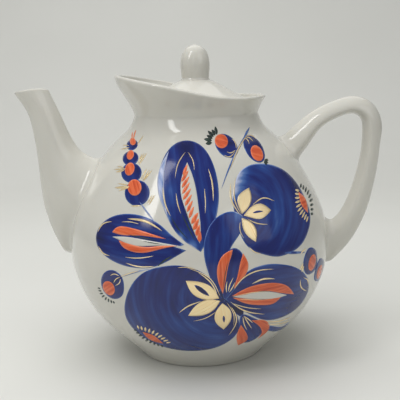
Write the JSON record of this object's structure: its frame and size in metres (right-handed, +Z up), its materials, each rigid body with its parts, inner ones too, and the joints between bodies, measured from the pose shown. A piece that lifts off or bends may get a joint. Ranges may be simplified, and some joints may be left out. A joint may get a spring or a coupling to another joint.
{
  "type": "porcelain teapot",
  "caption": "Round-bellied porcelain teapot with a hollow spout, a loop handle, a slanted flared collar and a lift-off domed lid with an egg-shaped knob.",
  "frame": {"origin": "on the surface the pot stands on, at the axis of the round body, which is the middle of the whole pot's footprint", "axes": "+Z up along the body's axis, -X towards the spout, +X towards the handle, -Y towards the painted front"},
  "size_m": [0.2689, 0.1904, 0.226],
  "materials": {
    "body_glaze": "clear gloss glaze over white porcelain, painted with cobalt, red enamel and gold",
    "spout_glaze": "clear gloss glaze",
    "handle_glaze": "clear gloss glaze",
    "lid_glaze": "clear gloss glaze",
    "knob_glaze": "clear gloss glaze"
  },
  "bodies": {
    "pot": {"pot_base": "body_glaze", "lower_belly": "body_glaze", "upper_belly": "body_glaze", "shoulder": "body_glaze", "collar": "body_glaze", "spout": "spout_glaze", "handle": "handle_glaze"},
    "lid": {"lid": "lid_glaze", "lid_knob": "knob_glaze"}
  },
  "joints": [
    {"name": "lid_lift", "type": "slide", "parent": "pot", "child": "lid", "axis": [0, 0, 1], "range_m": [0, 0.06]}
  ]
}
